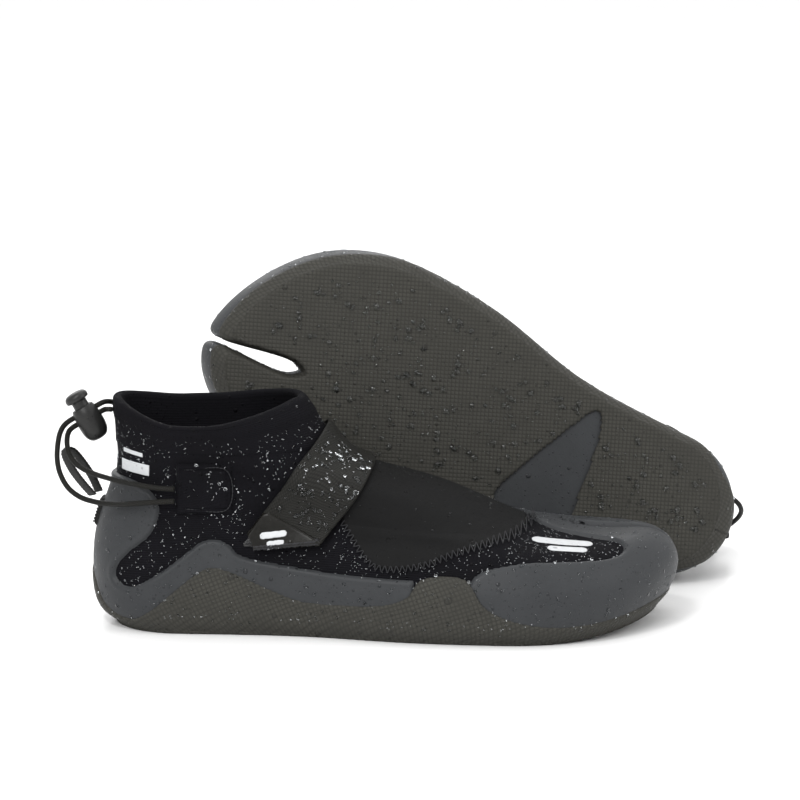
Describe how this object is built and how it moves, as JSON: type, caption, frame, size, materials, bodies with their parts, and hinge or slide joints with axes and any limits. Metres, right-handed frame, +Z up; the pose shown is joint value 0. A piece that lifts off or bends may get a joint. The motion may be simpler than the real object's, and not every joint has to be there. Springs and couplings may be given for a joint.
{
  "type": "neoprene boots",
  "caption": "Low split-toe wetsuit boots, one standing and one lying on its side behind it, with instep straps, collar drawcords with cord locks, heel pull tabs and textured rubber soles.",
  "frame": {"origin": "on the ground under the middle of the pair's bounding box, its loose cords left out", "axes": "+X towards the standing boot's toe, +Z up, +Y from the standing boot to the one lying behind it"},
  "size_m": [0.3314, 0.2456, 0.1632],
  "materials": {
    "neoprene": "brushed jersey over foam rubber",
    "sole_rubber": "finely pitted, matt",
    "smooth_rubber": "smooth, satin",
    "foam": "matt",
    "stretch_panel": "smooth, satin",
    "strap_rubber": "pitted, satin",
    "moulded": "glossy",
    "pile": "matt",
    "webbing": "ribbed",
    "cord": "woven",
    "plastic": "satin",
    "steel": "bright"
  },
  "bodies": {
    "right_boot": {"right_neoprene_upper": "neoprene", "right_ankle_collar": "neoprene", "right_outsole": "sole_rubber", "right_arch_panel": "smooth_rubber", "right_heel_rand": "smooth_rubber", "right_toe_cap": "smooth_rubber", "right_insole": "foam", "right_instep_panel": "stretch_panel", "right_strap_base": "strap_rubber", "right_loop_pad": "pile", "right_cord_pocket": "neoprene", "right_pull_tab_anchor": "webbing", "right_collar_cord": "cord", "right_outer_strand": "cord", "right_inner_strand": "cord"},
    "right_strap": {"right_strap_tail": "strap_rubber", "right_strap_tip": "moulded", "right_hook_pad": "pile"},
    "right_tab": {"right_pull_tab": "webbing"},
    "right_lock": {"right_cord_lock_body": "plastic", "right_cord_lock_spring": "steel"},
    "right_button": {"right_cord_lock_button": "plastic"},
    "left_boot": {"left_neoprene_upper": "neoprene", "left_ankle_collar": "neoprene", "left_outsole": "sole_rubber", "left_arch_panel": "smooth_rubber", "left_heel_rand": "smooth_rubber", "left_toe_cap": "smooth_rubber", "left_insole": "foam", "left_instep_panel": "stretch_panel", "left_strap_base": "strap_rubber", "left_loop_pad": "pile", "left_cord_pocket": "neoprene", "left_pull_tab_anchor": "webbing", "left_collar_cord": "cord", "left_outer_strand": "cord", "left_inner_strand": "cord"},
    "left_strap": {"left_strap_tail": "strap_rubber", "left_strap_tip": "moulded", "left_hook_pad": "pile"},
    "left_tab": {"left_pull_tab": "webbing"},
    "left_lock": {"left_cord_lock_body": "plastic", "left_cord_lock_spring": "steel"},
    "left_button": {"left_cord_lock_button": "plastic"}
  },
  "joints": [
    {"name": "pair_apart", "type": "slide", "parent": "right_boot", "child": "left_boot", "axis": [0, 1, 0], "range_m": [0, 0.2]},
    {"name": "right_strap_hinge", "type": "hinge", "parent": "right_boot", "child": "right_strap", "pos_m": [-0.02388, -0.06293, 0.08685], "axis": [-0.7734, 0, 0.634], "range_deg": [0, 80]},
    {"name": "right_tab_hinge", "type": "hinge", "parent": "right_boot", "child": "right_tab", "pos_m": [-0.14538, -0.06293, 0.058], "axis": [0, -1, 0], "range_deg": [0, 60]},
    {"name": "right_lock_slide", "type": "slide", "parent": "right_boot", "child": "right_lock", "axis": [-0.866, 0, -0.5], "range_m": [0, 0.002]},
    {"name": "right_button_press", "type": "slide", "parent": "right_lock", "child": "right_button", "axis": [0.5, 0, -0.866], "range_m": [0, 0.003], "stiffness_N_per_m": 300, "springref_m": -0.004},
    {"name": "left_strap_hinge", "type": "hinge", "parent": "left_boot", "child": "left_strap", "pos_m": [0.03643, 0.09247, 0.06554], "axis": [-0.6213, -0.6848, 0.3809], "range_deg": [0, 80]},
    {"name": "left_tab_hinge", "type": "hinge", "parent": "left_boot", "child": "left_tab", "pos_m": [0.1505, 0.07331, 0.01846], "axis": [-0.398, -0.1429, -0.9062], "range_deg": [0, 60]},
    {"name": "left_lock_slide", "type": "slide", "parent": "left_boot", "child": "left_lock", "axis": [0.8508, -0.427, -0.3063], "range_m": [0, 0.002]},
    {"name": "left_button_press", "type": "slide", "parent": "left_lock", "child": "left_button", "axis": [-0.3432, -0.8929, 0.2915], "range_m": [0, 0.003], "stiffness_N_per_m": 300, "springref_m": -0.004}
  ]
}
